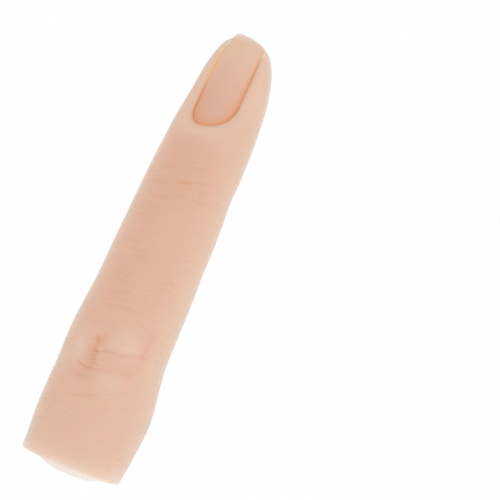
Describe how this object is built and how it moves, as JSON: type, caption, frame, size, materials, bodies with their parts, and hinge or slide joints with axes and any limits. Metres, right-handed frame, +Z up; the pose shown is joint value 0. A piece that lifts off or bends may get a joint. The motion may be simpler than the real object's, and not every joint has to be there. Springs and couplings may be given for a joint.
{
  "type": "nail practice finger",
  "caption": "Lifelike practice finger: soft skin over a jointed core that bends at the knuckles and holds its pose, with a slot that grips a slide-out nail and a domed end plug.",
  "frame": {"origin": "on the surface that the finger lies on, midway along the finger and midway across it", "axes": "+Y from the plug towards the fingertip, +Z up through the nail side, X across, parallel to both hinge axes"},
  "size_m": [0.019, 0.0798, 0.0165],
  "materials": {
    "skin": "matte skin-toned silicone with fine wrinkles",
    "fold": "matte skin-toned silicone",
    "nail": "satin, flesh pink",
    "nail_bed": "matte pink silicone",
    "plug": "matte pale silicone",
    "core": "moulded, satin",
    "pin": "plain steel",
    "washer": "natural nylon"
  },
  "bodies": {
    "base_section": {"base_skin": "skin", "base_plug": "plug", "base_core": "core", "pip_pin": "pin", "pip_washer_left": "washer", "pip_washer_right": "washer", "pip_fold": "fold"},
    "middle_section": {"middle_skin": "skin", "middle_core": "core", "dip_pin": "pin", "dip_washer_left": "washer", "dip_washer_right": "washer", "dip_fold": "fold"},
    "tip_section": {"tip_skin": "skin", "tip_core": "core", "nail_bed": "nail_bed"},
    "nail_insert": {"nail": "nail"}
  },
  "joints": [
    {"name": "pip_bend", "type": "hinge", "parent": "base_section", "child": "middle_section", "pos_m": [0, -0.01852, 0.0085], "axis": [-1, 0, 0], "range_deg": [0, 75], "deforming": ["pip_fold"]},
    {"name": "dip_bend", "type": "hinge", "parent": "middle_section", "child": "tip_section", "pos_m": [0, 0.01378, 0.00695], "axis": [-1, 0, 0], "range_deg": [0, 50], "deforming": ["dip_fold"]},
    {"name": "nail_slide", "type": "slide", "parent": "tip_section", "child": "nail_insert", "axis": [0, 0.9936, -0.1132], "range_m": [0, 0.022]}
  ]
}
